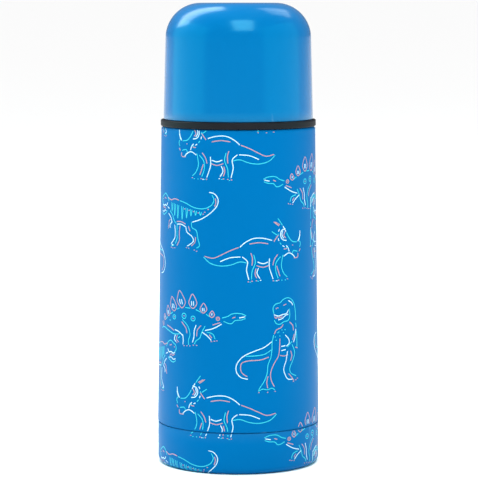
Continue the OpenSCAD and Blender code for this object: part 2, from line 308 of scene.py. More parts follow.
class Groups:
    """The shader node groups that the finishes share."""

    def __init__(self) -> None:
        """Builds each group once."""
        self.tone = self._tone()
        self.grain = self._grain()
        self.turned = self._turned()
        self.rub = self._rub()

    @staticmethod
    def _start(name: str, **inputs: str) -> tuple[Patch, Outputs]:
        """Starts a node group.

        Args:
            name: The group's name.
            **inputs: Each input's kind.

        Returns:
            The group's patch, and the outputs that carry its inputs.
        """
        tree = bpy.data.node_groups.new(name, "ShaderNodeTree")
        for label, kind in inputs.items():
            tree.interface.new_socket(label, in_out="INPUT", socket_type="NodeSocket" + kind)
        return Patch(tree), tree.nodes.new("NodeGroupInput").outputs

    @staticmethod
    def _end(patch: Patch, **results: bpy.types.NodeSocket) -> bpy.types.NodeTree:
        """Gives a node group its outputs.

        Args:
            patch: The group's patch.
            **results: What each output puts out, a colour or a number.

        Returns:
            The finished group.
        """
        for label, socket in results.items():
            kind = "Color" if socket.type == "RGBA" else "Float"
            patch.tree.interface.new_socket(label, in_out="OUTPUT", socket_type="NodeSocket" + kind)
        patch.feed(patch.tree.nodes.new("NodeGroupOutput"), results)
        return patch.tree

    def _tone(self) -> bpy.types.NodeTree:
        """Builds slow variation of colour and roughness over a surface.

        Returns:
            The group.
        """
        patch, start = self._start(
            "surface_tone", Vector="Vector", Colour="Color", Other="Color", Scale="Float",
            Roughness="Float", Spread="Float",
        )
        place = {"Vector": start["Vector"], "Scale": start["Scale"]}
        cloud = patch.node("TexNoise", {**place, "Detail": 4, "Roughness": 0.6})["Fac"]
        mix = patch.node(
            "Mix", {"Factor": cloud, "A": start["Colour"], "B": start["Other"]}, data_type="RGBA"
        )
        centred = patch.node("Math", {0: cloud, 1: 0.5}, operation="SUBTRACT")
        varied = {0: centred[0], 1: start["Spread"], 2: start["Roughness"]}
        spread = patch.node("Math", varied, operation="MULTIPLY_ADD")
        return self._end(patch, Colour=mix["Result"], Roughness=spread[0])

    def _grain(self) -> bpy.types.NodeTree:
        """Builds a fine pebbled height, for moulded plastic and sprayed paint.

        Returns:
            The group.
        """
        patch, start = self._start("fine_grain", Vector="Vector", Scale="Float")
        place = {"Vector": start["Vector"], "Scale": start["Scale"]}
        pebbles = patch.node("TexVoronoi", place, feature="SMOOTH_F1")
        haze = patch.node("TexNoise", {**place, "Detail": 3})
        both = patch.node("Math", {0: pebbles["Distance"], 1: haze["Fac"]}, operation="ADD")
        return self._end(patch, Height=both[0])

    def _turned(self) -> bpy.types.NodeTree:
        """Builds fine rings round Z, as a polishing wheel leaves on turned steel.

        Returns:
            The group.
        """
        patch, start = self._start("turned_lines", Vector="Vector", Scale="Float")
        split = patch.node("SeparateXYZ", {0: start["Vector"]})
        flat = patch.node("CombineXYZ", {"X": split["X"], "Y": split["Y"]})
        radius = patch.node("VectorMath", {0: flat[0]}, operation="LENGTH")["Value"]
        place = patch.node("CombineXYZ", {"X": radius, "Y": split["Z"]})
        lines = patch.node(
            "TexNoise", {"Vector": place[0], "Scale": start["Scale"], "Detail": 5, "Roughness": 0.7}
        )
        return self._end(patch, Height=lines["Fac"])

    def _rub(self) -> bpy.types.NodeTree:
        """Builds a mask of broken-up wear along edges.

        Returns:
            The group.
        """
        patch, start = self._start("edge_rub", Vector="Vector", Pointiness="Float", Amount="Float")
        edge = patch.node(
            "MapRange", {"Value": start["Pointiness"], "From Min": 0.52, "From Max": 0.6}
        )
        breakup = patch.node("TexNoise", {"Vector": start["Vector"], "Scale": 700, "Detail": 4})
        times = patch.node("Math", {0: edge[0], 1: breakup["Fac"]}, operation="MULTIPLY")
        amount = patch.node(
            "Math", {0: times[0], 1: start["Amount"]}, operation="MULTIPLY", use_clamp=True
        )
        return self._end(patch, Mask=amount[0])


@dataclass(frozen=True)
class Finish:
    """A surface finish: its colours, gloss, grain and wear."""

    name: str
    colour: Colour
    other: Colour
    roughness: float
    spread: float = 0.08
    cloud: float = 60.0
    grain: float = 1500.0
    grain_depth: float = 0.004 * MM
    turned: float = 0.0
    turned_depth: float = 0.002 * MM
    metallic: float = 0.0
    coat: float = 0.0
    coat_roughness: float = 0.08
    specular: float = 0.5
    tint: Colour = (1.0, 1.0, 1.0)
    anisotropy: float = 0.0
    worn: Colour = (0.5, 0.5, 0.5)
    wear: float = 0.0
    subsurface: float = 0.0
    subsurface_scale: float = 0.5 * MM

    def build(self, groups: Groups) -> bpy.types.Material:
        """Builds the material.

        Args:
            groups: The shared node groups.

        Returns:
            The material.
        """
        material = bpy.data.materials.new(self.name)
        material.use_nodes = True
        patch = Patch(material.node_tree)
        place = patch.node("TexCoord")["Object"]
        tone = patch.node(
            "Group",
            {
                "Vector": place, "Colour": (*self.colour, 1), "Other": (*self.other, 1),
                "Scale": self.cloud, "Roughness": self.roughness, "Spread": self.spread,
            },
            node_tree=groups.tone,
        )
        pointiness = patch.node("NewGeometry")["Pointiness"]
        wear = {"Vector": place, "Pointiness": pointiness, "Amount": self.wear}
        rub = patch.node("Group", wear, node_tree=groups.rub)
        colours = {"Factor": rub["Mask"], "A": tone["Colour"], "B": (*self.worn, 1)}
        worn = patch.node("Mix", colours, data_type="RGBA")
        relief = {"Vector": place, "Scale": self.grain}
        grain = patch.node("Group", relief, node_tree=groups.grain)["Height"]
        bump = patch.node("Bump", {"Distance": self.grain_depth, "Height": grain})
        if self.turned:
            relief = {"Vector": place, "Scale": self.turned}
            lines = patch.node("Group", relief, node_tree=groups.turned)["Height"]
            bump = patch.node(
                "Bump", {"Distance": self.turned_depth, "Height": lines, "Normal": bump["Normal"]}
            )
        shader = {
            "Base Color": worn["Result"],
            "Roughness": tone["Roughness"],
            "Normal": bump["Normal"],
            "Metallic": self.metallic,
            "Specular IOR Level": self.specular,
            "Specular Tint": (*self.tint, 1),
            "Coat Weight": self.coat,
            "Coat Roughness": self.coat_roughness,
            "Anisotropic": self.anisotropy,
            "Subsurface Weight": self.subsurface,
            "Subsurface Scale": self.subsurface_scale,
        }
        patch.feed(material.node_tree.nodes["Principled BSDF"], shader)
        material.diffuse_color = (*self.colour, 1)
        return material


class Finishes:
    """Every finish on the flask, built once."""

    def __init__(self) -> None:
        """Builds the shared groups and each material."""
        groups = Groups()
        self.body_paint = Finish(
            "satin_body_paint", (0.0, 0.118, 0.327), (0.0, 0.1125, 0.317), 0.42, spread=0.06,
            cloud=35, grain=2600, grain_depth=0.0012 * MM, specular=0.06, tint=(0.1, 0.9, 1.0),
            worn=(0.3, 0.5, 0.7), wear=0.25,
        ).build(groups)
        self.cup_paint = Finish(
            "gloss_cup_paint", (0.0, 0.124, 0.33), (0.0, 0.118, 0.32), 0.2, spread=0.04, cloud=30,
            grain=1400, grain_depth=0.0006 * MM, specular=0.34, tint=(0.1, 0.9, 1.0),
            coat=0.07, coat_roughness=0.12, worn=(0.3, 0.5, 0.7), wear=0.2,
        ).build(groups)
        self.steel = Finish(
            "turned_steel", (0.62, 0.62, 0.61), (0.54, 0.54, 0.54), 0.28, spread=0.14, cloud=80,
            grain=5000, grain_depth=0.0004 * MM, turned=9000, metallic=1.0, anisotropy=0.5,
            worn=(0.8, 0.8, 0.8), wear=0.4,
        ).build(groups)
        self.black_plastic = Finish(
            "black_moulding", (0.007, 0.006, 0.008), (0.011, 0.01, 0.012), 0.5, spread=0.12,
            cloud=150, grain=4200, specular=0.1, worn=(0.05, 0.05, 0.055), wear=0.5,
        ).build(groups)
        self.white_plastic = Finish(
            "white_moulding", (0.78, 0.79, 0.78), (0.72, 0.73, 0.72), 0.34, spread=0.1, cloud=90,
            grain=2200, grain_depth=0.002 * MM, subsurface=0.15, worn=(0.9, 0.9, 0.88), wear=0.3,
        ).build(groups)
        self.blue_plastic = Finish(
            "blue_button", (0.0, 0.235, 0.61), (0.0, 0.2, 0.55), 0.3, spread=0.1, cloud=120,
            grain=2500, grain_depth=0.002 * MM, coat=0.2, worn=(0.25, 0.5, 0.75), wear=0.5,
        ).build(groups)
        self.dark_silicone = Finish(
            "dark_silicone", (0.02, 0.02, 0.022), (0.035, 0.035, 0.037), 0.62, cloud=200,
            grain=3500, worn=(0.1, 0.1, 0.1), wear=0.4,
        ).build(groups)
        self.clear_silicone = Finish(
            "milky_silicone", (0.7, 0.71, 0.69), (0.6, 0.61, 0.6), 0.5, cloud=160,
            grain=3000, grain_depth=0.003 * MM, subsurface=0.5, worn=(0.85, 0.85, 0.85), wear=0.2,
        ).build(groups)
        self.copper_foil = Finish(
            "copper_foil", (0.8, 0.38, 0.22), (0.7, 0.3, 0.17), 0.25, spread=0.2, cloud=220,
            grain=500, grain_depth=0.05 * MM, metallic=1.0,
        ).build(groups)
        self.solder_glass = Finish(
            "solder_glass", (0.1, 0.14, 0.12), (0.16, 0.19, 0.16), 0.18, spread=0.1, cloud=500,
            grain_depth=0.01 * MM, coat=0.4,
        ).build(groups)
        self.getter_metal = Finish(
            "sintered_getter", (0.05, 0.05, 0.055), (0.12, 0.12, 0.12), 0.75, cloud=900,
            grain=2200, grain_depth=0.05 * MM, metallic=0.6,
        ).build(groups)
        self.inks = {
            ink: Finish(f"{ink.value}_ink", colour, other, 0.5, cloud=900, grain=3500).build(groups)
            for ink, colour, other in (
                (Ink.WHITE, (0.6, 0.74, 0.8), (0.53, 0.69, 0.77)),
                (Ink.AQUA, (0.01, 0.5, 0.57), (0.008, 0.45, 0.53)),
                (Ink.CORAL, (0.52, 0.24, 0.24), (0.45, 0.21, 0.22)),
            )
        }

    def dress(self, piece: bpy.types.Object, material: bpy.types.Material) -> None:
        """Gives a whole piece one material.

        Args:
            piece: A new piece or a CAD node.
            material: The finish.
        """
        if not piece.data.materials:
            piece.data.materials.append(material)
        for i in range(len(piece.data.materials)):
            piece.data.materials[i] = material


# ---- drawings


class Ink(Enum):
    """The three printing inks."""

    WHITE = "white"
    AQUA = "aqua"
    CORAL = "coral"


@dataclass(frozen=True)
class Stroke:
    """One drawn line: its ink and the points that it passes through, in millimetres."""

    ink: Ink
    points: tuple[Point, ...]
    closed: bool = False


class Sketch:
    """A line drawing of an animal that stands on y = 0. Sizes are in millimetres."""

    width = 40.0
    stretch = (1.0, 1.0)
    half_dot = 0.12
    ring_points = 8

    def __init__(self) -> None:
        """Draws the animal."""
        self.strokes: list[Stroke] = []
        self.draw()

    def draw(self) -> None:
        """Draws every stroke; each kind of animal has its own."""
        raise NotImplementedError

    def _line(self, ink: Ink, flat: Sequence[float], closed: bool = False) -> None:
        """Adds one line.

        Args:
            ink: The line's ink.
            flat: x and y of each point in turn.
            closed: Whether the line returns to its start.
        """
        self.strokes.append(Stroke(ink, tuple(zip(flat[::2], flat[1::2])), closed))

    def white(self, *flat: float) -> None:
        """Adds a white line through x, y, x, y and so on."""
        self._line(Ink.WHITE, flat)

    def aqua(self, *flat: float) -> None:
        """Adds an aqua line through x, y, x, y and so on."""
        self._line(Ink.AQUA, flat)

    def coral(self, *flat: float) -> None:
        """Adds a coral line through x, y, x, y and so on."""
        self._line(Ink.CORAL, flat)

    def dots(self, ink: Ink, *flat: float) -> None:
        """Adds a dot at each x, y.

        Args:
            ink: The dots' ink.
            *flat: x and y of each dot in turn.
        """
        for x, y in zip(flat[::2], flat[1::2]):
            self._line(ink, (x - self.half_dot, y, x + self.half_dot, y))

    def ring(self, ink: Ink, x: float, y: float, radius: float) -> None:
        """Adds a small circle.

        Args:
            ink: The ring's ink.
            x: Its middle, across.
            y: Its middle, up.
            radius: Its radius.
        """
        flat: list[float] = []
        for i in range(self.ring_points):
            a = math.tau * i / self.ring_points
            flat += [x + radius * math.cos(a), y + radius * math.sin(a)]
        self._line(ink, flat, closed=True)


class HornedDinosaur(Sketch):
    """A frilled, three-horned dinosaur, walking right."""

    width = 47.0

    def draw(self) -> None:
        """Draws the tail, back, legs, frill and face."""
        white, aqua, coral = self.white, self.aqua, self.coral
        coral(1.5, 10.8, 5.3, 10.2, 9.1, 11.8, 12.8, 13.6, 16, 14.8)
        white(16.8, 15.1, 19.2, 17.1, 22.6, 18.6, 26.6, 18.6, 30.6, 17.6)
        coral(20.9, 16.3, 24.7, 16.8, 28.8, 16.2)
        aqua(1, 10.4, 4, 8, 8.5, 7, 12.8, 7.5, 16.6, 8.8, 19.4, 8.4)
        white(8.5, 8.9, 12.5, 10.5, 16.8, 10.9)
        white(17.8, 10.8, 19.9, 8.8, 19.5, 5.4, 20.4, 1.4)
        coral(21.4, 12.3, 22, 10.2, 21.8, 7.4)
        aqua(22.6, 11.6, 23.2, 8.4, 21.9, 5, 21.6, 1.6)
        coral(23.5, 5.8, 23.1, 3.8, 23.7, 2)
        white(24.6, 6, 23.9, 4, 25.1, 1.8)
        white(24.4, 8.6, 26.6, 7.9, 28.8, 8.5)
        coral(23.9, 7.1, 26.5, 6.4, 29, 7)
        white(29.5, 9.8, 29.4, 6.4, 30.4, 3.2, 31.1, 1.4)
        coral(33.3, 11.4, 31.8, 9.4, 31.1, 7.2)
        aqua(34.7, 10.4, 32.6, 8, 32.4, 4.6, 33.5, 1.6)
        coral(32.9, 6.6, 33.8, 4, 34.4, 2.4)
        aqua(36, 11, 35.2, 6.6, 36.4, 3.4, 38.1, 1.8)
        self.dots(Ink.CORAL, 20.2, 0.4, 21.8, 0.6, 23.7, 0.8, 31.3, 0.5, 33.8, 0.6, 38.3, 0.9)
        self.dots(Ink.AQUA, 21.1, 0.2, 24.4, 0.6, 32.2, 0.4, 35.4, 0.5, 37.2, 0.5)
        self.dots(Ink.WHITE, 25.5, 0.9, 32.9, 0.4)
        # chin, beak and mouth
        white(36.5, 10.6, 39.1, 11.8, 41.4, 10.9, 42.5, 9.8)
        coral(42.2, 9.5, 44.4, 9.7, 44.6, 11.2)
        aqua(44.1, 12.2, 41.8, 12.6, 41.2, 11.6)
        coral(45.5, 12.2, 46.1, 13)
        aqua(45.8, 14, 46.3, 15.6, 45.3, 16.7)
        # nose horn, brow and eye
        white(44.7, 16.5, 45.8, 18.5, 46.1, 20.7)
        white(45.4, 17.1, 46.1, 18.9)
        aqua(43.8, 16.2, 41.2, 16.6, 39.3, 18.4, 38.1, 20.4)
        self.dots(Ink.CORAL, 41.4, 15)
        white(37.6, 21, 36.3, 23.2)
        aqua(35.8, 23.8, 33.7, 26.6)
        coral(34, 23.6, 31.7, 25.2)
        coral(34.5, 24, 32.4, 25.1)
        # frill, whose rim is a row of short arcs
        white(37.2, 22.2, 35.4, 21.4, 34.9, 19.4, 36, 17.6, 37.9, 17.2)
        white(35.9, 21.2, 35.6, 19.6, 36.5, 18.2)
        coral(37.2, 20.8, 36.5, 19.4, 37.4, 18.4)
        aqua(30.8, 21.2, 32.9, 19.8)
        coral(31.7, 17.1, 33.7, 19.6)
        x, y, reach = 38.8, 19.4, 5.2
        first, apart, length = 150, 22, 9
        for i, ink in enumerate((Ink.WHITE, Ink.AQUA) * 3):
            rim: list[float] = []
            for degrees in (first + apart * i, first + apart * i + length):
                a = math.radians(degrees)
                rim += [x + reach * math.cos(a), y + reach * math.sin(a)]
            self._line(ink, rim)
        white(37.9, 15, 38.8, 14, 39.3, 12.6)
        coral(36.7, 13.6, 38.1, 13.8)


class PlatedDinosaur(Sketch):
    """A dinosaur with a row of plates along its back, walking right."""

    width = 48.0
    stretch = (1.065, 1.04)
    plate_scale = 1.12
    leaf = ((0, 0), (0.5, 0.3), (0.42, 0.62), (0, 1), (-0.36, 0.66), (-0.5, 0.34))
    # Plates over the first height have two ticks inside, and over the second one tick.
    two_ticks, one_tick = 3.5, 2.0

    def plate(self, x: float, y: float, tall: float, wide: float, lean: float) -> None:
        """Adds one leaf-shaped plate with ticks inside.

        Args:
            x: Foot of the plate, across.
            y: Foot of the plate, up.
            tall: Height of the plate.
            wide: Width of the plate.
            lean: How far the tip leans across.
        """
        tall, wide = self.plate_scale * tall, self.plate_scale * wide
        flat: list[float] = []
        for across, up in self.leaf:
            flat += [x + wide * across + lean * up, y + tall * up]
        self._line(Ink.CORAL, flat, closed=True)
        if tall > self.two_ticks:
            for step in (-0.13, 0.13):
                foot = (x + wide * step + lean * 0.25, y + tall * 0.22)
                self.white(*foot, foot[0] + lean * 0.25 - 0.1, foot[1] + tall * 0.26)
        elif tall > self.one_tick:
            self.white(x + lean * 0.3, y + tall * 0.35, x + lean * 0.5, y + tall * 0.6)

    def draw(self) -> None:
        """Draws the plates, back, legs, tail and head."""
        white, aqua, coral = self.white, self.aqua, self.coral
        self.plate(4, 9.6, 2.2, 1.7, -0.5)
        self.plate(7.2, 11.6, 3.8, 2.5, -0.7)
        self.plate(11.2, 14, 5.2, 3.6, -1.5)
        self.plate(16, 15.8, 6.2, 4, -1.4)
        self.plate(21.6, 16, 5.2, 3.3, -0.1)
        self.plate(26.4, 14.4, 3.6, 2.5, 0.2)
        self.plate(30, 12.8, 2.4, 1.8, 0.3)
        self.ring(Ink.CORAL, 32.6, 12.4, 0.7)
        self.dots(Ink.CORAL, 32.6, 12.4)
        aqua(5.2, 10.2, 6.4, 11)
        aqua(8.8, 12.6, 10.2, 13.4)
        aqua(13.2, 15, 14.6, 15.6)
        aqua(18, 16.1, 20.4, 16)
        aqua(23.2, 15.6, 25.2, 14.8)
        aqua(27.8, 14, 29, 13.2)
        # flank
        self.ring(Ink.AQUA, 11.4, 11.6, 0.9)
        self.ring(Ink.AQUA, 17.2, 12.6, 1.1)
        self.ring(Ink.AQUA, 21.8, 11.9, 1)
        self.dots(Ink.CORAL, 11.4, 11.6, 17.2, 12.6, 21.8, 11.9)
        self.dots(Ink.AQUA, 8.2, 9.9, 8.7, 10)
        # tail
        coral(1.2, 8.6, 2.4, 6.9)
        coral(2.6, 9, 2.9, 7.4)
        aqua(1, 6, 3.4, 6.6, 7.4, 5.6, 11.4, 4.6, 14.8, 5)
        coral(6.2, 7.6, 8.8, 7, 11.2, 6)
        white(12, 6.4, 14.4, 5.8, 16.4, 4.6)
        # hind legs
        white(16.6, 4.8, 16.9, 2.8, 16.8, 1)
        coral(16, 10, 18.2, 7.8, 18.8, 5.8)
        aqua(16.4, 11, 19.2, 8.6, 20.4, 5.4, 19.6, 2.8, 19.8, 1)
        white(12.2, 4.2, 11.6, 2.6, 12.6, 1.6)
        coral(13.4, 4.2, 12.8, 2.8, 13.6, 2)
        aqua(15, 3.8, 13.9, 3.2)
        self.dots(Ink.CORAL, 13.2, 1.2, 14.2, 1.7, 17.4, 0.4, 18.9, 0.5, 20.3, 0.6)
        # front legs
        white(23.2, 9.2, 22.4, 6.8, 22.3, 4.4, 21.6, 2.2)
        coral(25.4, 9.2, 23.8, 7.2, 23.6, 4.8)
        aqua(27.2, 9, 25.8, 6.4, 25, 4.2, 23.2, 2.8, 22.6, 1.6)
        white(26, 6.6, 28.2, 5.2, 29.8, 3.6)
        aqua(28.2, 6.8, 30.6, 6, 31.4, 4.2)
        coral(29.2, 5.6, 30, 4.6)
        self.dots(Ink.CORAL, 22, 1, 23.6, 1, 30, 3, 31.2, 3.2, 32.2, 3.4)
        # neck and head
        white(27.4, 7.4, 30.8, 8.4, 34, 10.2)
        coral(30.6, 9.8, 33.4, 10.8)
        aqua(34.4, 12.8, 36.4, 13.4, 38.6, 14.6, 41.6, 14.6, 43.6, 13.8)
        aqua(35, 11.4, 36.8, 10.6, 38.2, 10.6, 39.4, 11.8, 41.6, 12, 43.4, 12.6)
        white(41.2, 12.9, 43.2, 13.3)
        coral(38.4, 12.8, 39.4, 13.2)


class StripedHunter(Sketch):
    """A two-legged hunter with a striped back, walking left with its tail curled up."""

    width = 39.0
    # Each stripe's place and length, shorter towards the tail.
    stripes = (
        (11.6, 3.6), (13.6, 5), (15.8, 5.6), (18.6, 5.4),
        (21.2, 4.2), (23.6, 2.8), (26, 2), (28.4, 1.5),
    )

    def draw(self) -> None:
        """Draws the back, stripes, tail, legs and head."""
        white, aqua, coral = self.white, self.aqua, self.coral
        coral(8, 21.8, 10.6, 21, 13.4, 21.6, 16.2, 21.2)
        aqua(17, 21, 20.6, 20.2, 25, 18.6, 29.6, 18.2, 33.2, 19.6, 34.6, 22, 33.8, 24)
        white(24.4, 12.4, 28.6, 13.8, 32.6, 16.2, 35.8, 19.4, 36.4, 22.4, 34.8, 24.6, 32.6, 25.2)
        coral(35, 19.4, 35.5, 21.2, 35.2, 22.6)
        spine, fall, bend = 19.8, 0.18, 12
        for i, (x, tall) in enumerate(self.stripes):
            top = spine - fall * max(0.0, x - bend)
            aqua(x - 0.5, top, x - 0.1, top - tall, x + 0.5, top - 0.2)
            if i > 2:
                self.dots(Ink.CORAL, x + 1.3, top - 0.9)
        self.dots(Ink.CORAL, 30.4, 16.8, 32, 18)
        # belly, chest and arms
        coral(15.2, 12, 17.8, 12.2, 20.4, 11.4)
        white(15.6, 11, 18, 11.1, 20.6, 10.2)
        white(8.6, 15, 10.4, 13.6, 11.4, 11.8)
        aqua(10, 16.2, 12, 14.6, 13, 12.6, 14.6, 11.2)
        coral(10, 12.6, 8.8, 11.4, 9.2, 9.6)
        white(11.6, 11.6, 10.2, 10.6, 10, 9)
        coral(8.6, 10, 8.2, 8.6)
        # near leg
        white(13.6, 10.4, 14, 7.8, 13.8, 5.2, 12.2, 3.4, 11.2, 2.4, 12.6, 1.8)
        aqua(15.4, 11, 15.2, 7.8, 15.4, 5, 14.2, 2.6)
        coral(17.2, 10.4, 16.8, 7.2, 16.9, 4.4, 15.4, 2)
        aqua(11.4, 1.4, 13, 1.9)
        self.dots(Ink.CORAL, 11.2, 0.8, 12.4, 0.6, 13.8, 0.8)
        # far leg
        white(20.8, 10, 21.4, 8, 24, 6.4, 24.9, 4.4, 23, 2.8, 21.8, 2.2)
        coral(22.2, 10.4, 23, 8.6)
        aqua(23.8, 12.2, 24.2, 10, 26.4, 8.8, 27.2, 5.4, 28, 2.6, 26.6, 1.6)
        coral(26, 6, 25.6, 3.8, 24, 2.4)
        self.dots(Ink.CORAL, 21.2, 1.4, 22.4, 1.2, 25.4, 0.6, 26.6, 0.2)
        # head
        aqua(8.6, 20.4, 7.2, 22.4, 5, 23.4, 3.2, 22.6, 1.4, 21.6, 1, 20, 2, 18.8)
        coral(4.4, 21.6, 5.6, 21.2)
        self.dots(Ink.CORAL, 2.2, 20.8)
        white(2, 18.4, 3.4, 18, 4.6, 18.6, 6.2, 18.2, 7.4, 19.4)
        coral(2.2, 17.6, 3.6, 17, 4.4, 17.6, 5.6, 16.8)
        white(1.6, 15.8, 3, 15.4, 4.4, 16.2, 5.8, 16)
        aqua(1.4, 15, 3, 14.2, 5.2, 14.8, 7, 16)
        white(7.6, 17.8, 9, 17.2)


class UprightHunter(Sketch):
    """A two-legged hunter standing tall, looking left over its tail."""

    width = 33.0

    def draw(self) -> None:
        """Draws the head, neck, body, tail and legs."""
        white, aqua, coral = self.white, self.aqua, self.coral
        # head
        aqua(
            17.2, 33.6, 16.8, 36, 18.2, 37.6, 20.2, 38, 22, 39.4, 24.6, 39.8, 27, 38.2, 28.2, 35,
            28.6, 30
        )
        white(24.6, 38.6, 26.2, 37.6, 26.8, 36.6)
        coral(22, 36.8, 23.2, 37.2)
        self.dots(Ink.CORAL, 18.4, 35.6, 19, 35.9)
        white(17.4, 33, 19.4, 32.4, 21.4, 32.9, 23.4, 33.2, 24.4, 34.6)
        white(19.4, 30.8, 21.2, 31.2, 22.8, 32.4, 24.2, 32.8)
        coral(17.6, 32.2, 18.2, 31.4, 18.8, 32.2, 19.4, 31.4, 20, 32.2, 20.6, 31.6, 21.2, 32.4)
        aqua(17.4, 30.6, 18.4, 29.2, 20.2, 28.9, 22, 29.8, 24.2, 30.2, 25.2, 32, 25, 35)
        # neck and shoulders
        coral(21.6, 28.6, 20.6, 27.4, 18.4, 26.6, 17.4, 25)
        coral(25.2, 29.4, 26.8, 27.8, 27.2, 25.8)
        aqua(28.6, 28.6, 28.8, 27)
        self.dots(
            Ink.AQUA, 19, 25.3, 19.5, 25.6, 21, 26.4, 21.8, 25.2, 17.8, 23.6, 20, 23.9, 18.2, 22.2,
            22.6, 26.4
        )
        # back edge of the body, down the near leg
        aqua(17, 24.4, 16.3, 21.4, 16.2, 18.2, 15.6, 14.8, 14.4, 12, 14, 8.4, 12.6, 5, 10.8, 2.4)
        coral(20, 22.6, 19.8, 18.6, 19.2, 15.4, 17, 12, 15.6, 8.6, 15.8, 5.4, 17.2, 2.6)
        coral(14.4, 7, 13.8, 4.6, 14.2, 2.2)
        aqua(10.8, 2.4, 10.2, 1, 12, 1.8, 14.2, 1.4, 16, 2, 17.4, 1.2)
        self.dots(Ink.CORAL, 10.4, 0.4, 14.2, 0.3, 17.6, 0.5)
        # tail
        white(16, 21.6, 12.6, 19.4, 8, 17.8, 3.8, 15.8, 1.2, 12.6, 1, 9.4, 2.8, 7, 5.6, 6.2)
        aqua(15.8, 18.2, 13, 16.6, 9, 16, 5, 16)
        coral(14.6, 15.2, 11, 14.2, 6.4, 14, 3.2, 13, 2.8, 10, 4, 8.2, 5.4, 7.4)
        # arms
        white(22.8, 24, 24.4, 22.4, 24.8, 20.6, 23.4, 19.4)
        aqua(23.8, 19, 25, 20, 26.2, 21)
        coral(27.6, 24, 26.8, 21.8)
        white(28.6, 26, 28, 22.6, 27.2, 20.8)
        aqua(29, 25, 29.2, 21.6, 29.2, 18.4)
        coral(28.4, 18.4, 29.4, 18)
        # belly
        white(20.8, 19.4, 22.6, 19.6)
        white(20.8, 17.6, 22.8, 17.9)
        coral(20.2, 15.6, 22, 15.2, 23.8, 15.6)
        # far leg
        white(23.8, 17, 23, 13, 21.8, 9.8, 22.6, 7, 24, 5.2, 26.2, 4.9)
        aqua(26.4, 19.6, 27.8, 16.4, 26.8, 13.2, 25, 9.8, 25.6, 7.6, 28.4, 6.2)
        coral(25.6, 17, 26.2, 15, 25.4, 13)
        coral(24.4, 7.4, 26, 5.8, 27, 4.4)
        self.dots(Ink.CORAL, 27, 3.9, 28.4, 4.4, 29.4, 5)


@dataclass(frozen=True)
class Placing:
    """A printed drawing: its left edge in degrees from the front, and its foot in metres."""

    sketch: type[Sketch]
    left: float
    foot: float
    flipped: bool = False


